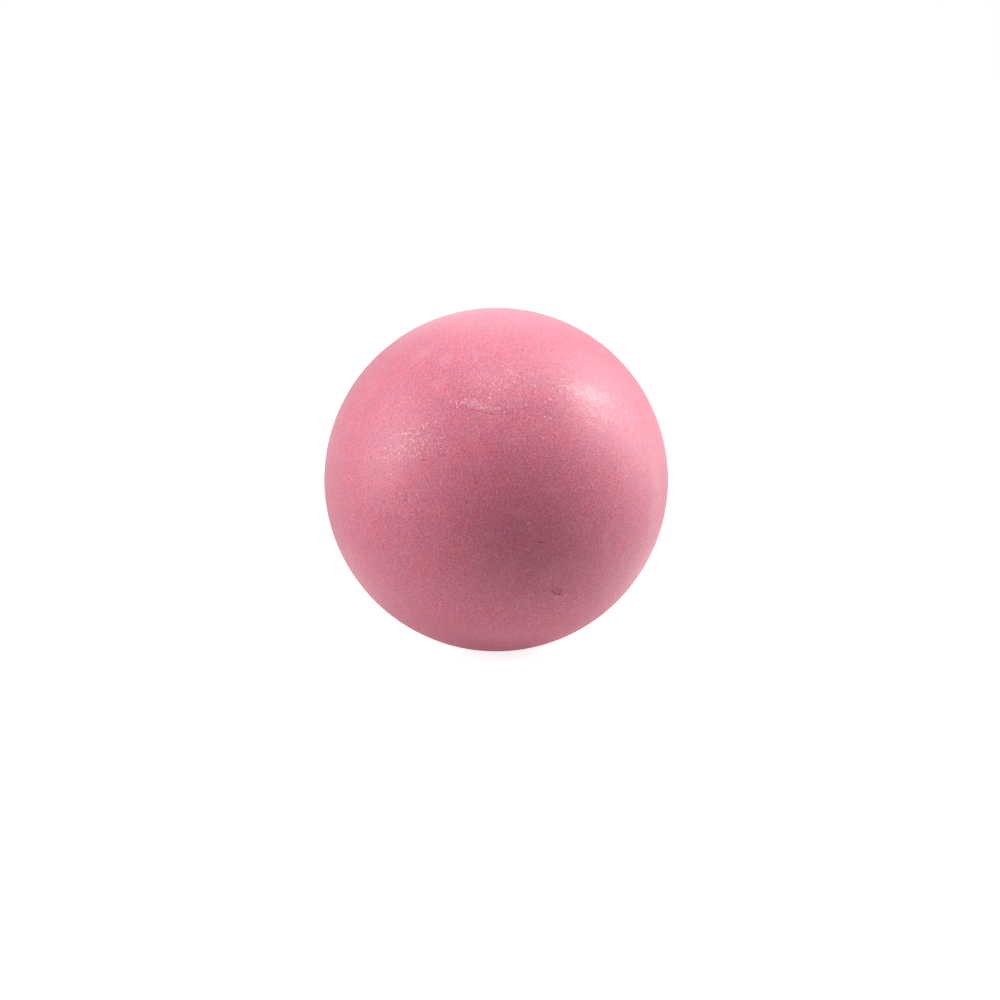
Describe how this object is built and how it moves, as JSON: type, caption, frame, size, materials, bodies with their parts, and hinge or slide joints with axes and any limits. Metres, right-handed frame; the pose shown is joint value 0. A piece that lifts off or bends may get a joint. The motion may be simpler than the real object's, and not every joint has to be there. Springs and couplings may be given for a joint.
{
  "type": "pinky ball",
  "caption": "Hollow pink rubber bounce ball with a matte, finely pebbled surface, made from moulded half shells cemented together at an equatorial seam.",
  "frame": {"origin": "the ball's centre, in the plane of the cemented seam", "axes": "+Z from the centre to the pole of the upper half shell, at right angles to the seam plane; X and Y lie in the seam plane and are alike"},
  "size_m": [0.06, 0.06, 0.06],
  "materials": {
    "pink_rubber": "satin",
    "seam_cement": "satin"
  },
  "bodies": {
    "root": {"upper_half_shell": "pink_rubber", "lower_half_shell": "pink_rubber", "seam_cement_ring": "seam_cement"}
  },
  "joints": []
}
